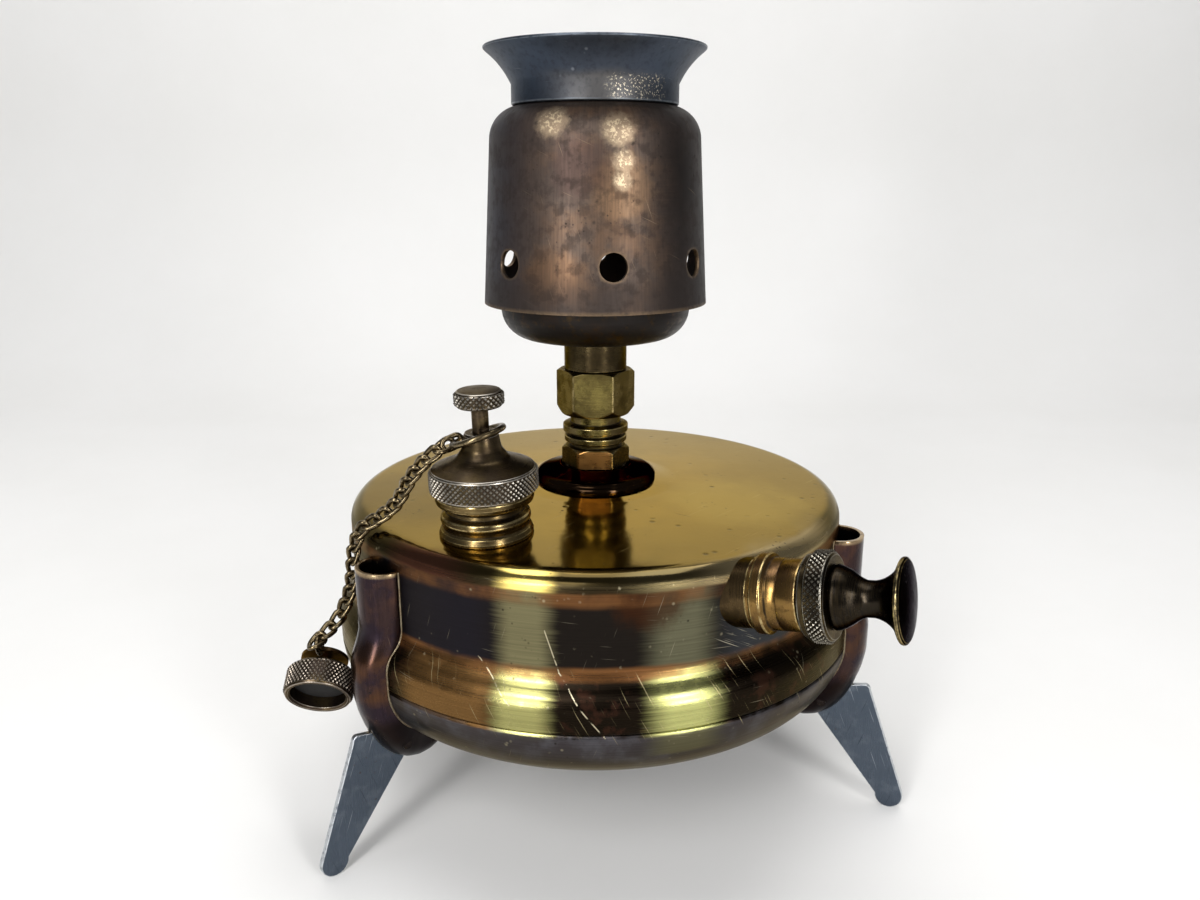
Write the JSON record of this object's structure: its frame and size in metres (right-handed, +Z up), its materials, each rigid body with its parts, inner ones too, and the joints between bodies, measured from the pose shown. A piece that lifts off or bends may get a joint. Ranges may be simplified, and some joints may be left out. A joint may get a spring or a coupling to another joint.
{
  "type": "pressure stove",
  "caption": "Small brass kerosene pressure stove with a round tank, hand pump, silent burner under a draught shroud, flame funnel and folding feet.",
  "frame": {"origin": "on the axis of tank and burner, at the floor that the feet stand on", "axes": "+Z up along the burner's axis; -Y towards the side seen in front, with the pump to its right (+X) and the filler to its left"},
  "size_m": [0.1267, 0.1323, 0.1555],
  "materials": {
    "tank_brass": "polished, worn brass with fine scratches",
    "fitting_brass": "turned brass, slightly dull",
    "knurled_brass": "turned and knurled brass, tarnished in the grooves",
    "sleeve_brass": "brass with purple and copper tarnish",
    "oxidised_brass": "heat-darkened brass, mottled",
    "dark_flange": "glossy, near black",
    "blued_steel": "heat-blued sheet steel",
    "burnt_steel": "heat-scaled steel",
    "foot_steel": "plated sheet steel with a worn edge",
    "spring_steel": "drawn wire",
    "chain_brass": "pale brass wire",
    "blanking_bronze": "dark bronze, knurled",
    "seal_leather": "oiled leather",
    "seal_rubber": "fuel-proof rubber"
  },
  "bodies": {
    "root": {"tank_upper_shell": "tank_brass", "tank_bottom_pan": "tank_brass", "riser_flange": "dark_flange", "riser_fitting": "fitting_brass", "dip_tube": "fitting_brass", "fuel_strainer": "fitting_brass", "filler_collar": "fitting_brass", "neck_ring": "chain_brass", "chain_links": "chain_brass", "pump_boss": "fitting_brass", "pump_tube": "fitting_brass", "pump_spring": "spring_steel", "valve_body": "fitting_brass", "valve_spring": "spring_steel", "leg_sleeve_1": "sleeve_brass", "leg_sleeve_2": "sleeve_brass", "leg_sleeve_3": "sleeve_brass", "foot_pins": "spring_steel"},
    "pump_rod": {"pump_rod": "spring_steel", "pump_knob": "knurled_brass", "pump_leather": "seal_leather", "backing_washer": "fitting_brass", "leather_washers": "spring_steel", "leather_nut": "fitting_brass"},
    "pump_cap": {"pump_cap": "knurled_brass"},
    "filler_cap": {"filler_cap": "knurled_brass", "filler_seal": "seal_rubber"},
    "air_screw": {"air_screw": "knurled_brass"},
    "burner": {"burner_stem": "fitting_brass", "spirit_cup": "oxidised_brass", "burner_manifold": "oxidised_brass", "vaporizer_tube_left": "oxidised_brass", "vaporizer_tube_right": "oxidised_brass", "jet_nipple": "fitting_brass", "mixing_tube": "oxidised_brass", "burner_plate": "burnt_steel", "flame_cap": "burnt_steel"},
    "union_nut": {"union_nut": "fitting_brass"},
    "draught_shroud": {"draught_shroud": "oxidised_brass"},
    "flame_funnel": {"flame_funnel": "blued_steel"},
    "valve_pip": {"valve_pip": "seal_rubber"},
    "swivel_ring": {"swivel_ring": "blanking_bronze"},
    "blanking_cap": {"blanking_cap": "blanking_bronze", "blanking_seal": "seal_rubber", "cap_stud": "blanking_bronze"},
    "foot_1": {"foot_1": "foot_steel"},
    "foot_2": {"foot_2": "foot_steel"},
    "foot_3": {"foot_3": "foot_steel"}
  },
  "joints": [
    {"name": "pump_stroke", "type": "slide", "parent": "root", "child": "pump_rod", "axis": [0.8596, -0.4864, 0.1564], "range_m": [0, 0.036]},
    {"name": "pump_cap_turn", "type": "hinge", "parent": "root", "child": "pump_cap", "pos_m": [0.03138, -0.0459, 0.0603], "axis": [0.8596, -0.4864, 0.1564], "continuous": true},
    {"name": "filler_cap_turn", "type": "hinge", "parent": "root", "child": "filler_cap", "pos_m": [-0.0204, -0.03142, 0.06073], "axis": [-0.0216, -0.0332, 0.9992], "continuous": true},
    {"name": "air_screw_turn", "type": "hinge", "parent": "filler_cap", "child": "air_screw", "pos_m": [-0.0204, -0.03142, 0.06073], "axis": [-0.0216, -0.0332, 0.9992], "continuous": true},
    {"name": "burner_lift", "type": "slide", "parent": "root", "child": "burner", "axis": [0, 0, 1], "range_m": [0, 0.025]},
    {"name": "union_nut_turn", "type": "hinge", "parent": "burner", "child": "union_nut", "pos_m": [0, 0, 0.087], "axis": [0, 0, 1], "continuous": true},
    {"name": "shroud_lift", "type": "slide", "parent": "burner", "child": "draught_shroud", "axis": [0, 0, 1], "range_m": [0, 0.05]},
    {"name": "funnel_lift", "type": "slide", "parent": "draught_shroud", "child": "flame_funnel", "axis": [0, 0, 1], "range_m": [0, 0.03]},
    {"name": "valve_open", "type": "slide", "parent": "root", "child": "valve_pip", "axis": [-0.8596, 0.4864, -0.1564], "range_m": [0, 0.0008], "stiffness_N_per_m": 300, "springref_m": -0.0005, "deforming": ["valve_spring"]},
    {"name": "swivel_swing", "type": "hinge", "parent": "root", "child": "swivel_ring", "pos_m": [-0.05394, -0.0307, 0.04147], "axis": [0, 0.829, 0.5592], "range_deg": [0, 40]},
    {"name": "blanking_cap_turn", "type": "hinge", "parent": "swivel_ring", "child": "blanking_cap", "pos_m": [-0.05394, -0.03564, 0.03403], "axis": [0, 0.829, 0.5592], "continuous": true},
    {"name": "foot_1_fold", "type": "hinge", "parent": "root", "child": "foot_1", "pos_m": [-0.03947, -0.03371, 0.0244], "axis": [0.6494, -0.7604, 0], "range_deg": [0, 94]},
    {"name": "foot_2_fold", "type": "hinge", "parent": "root", "child": "foot_2", "pos_m": [0.04892, -0.01732, 0.0244], "axis": [0.3338, 0.9426, 0], "range_deg": [0, 94]},
    {"name": "foot_3_fold", "type": "hinge", "parent": "root", "child": "foot_3", "pos_m": [-0.00946, 0.05103, 0.0244], "axis": [-0.9833, -0.1822, 0], "range_deg": [0, 94]}
  ]
}
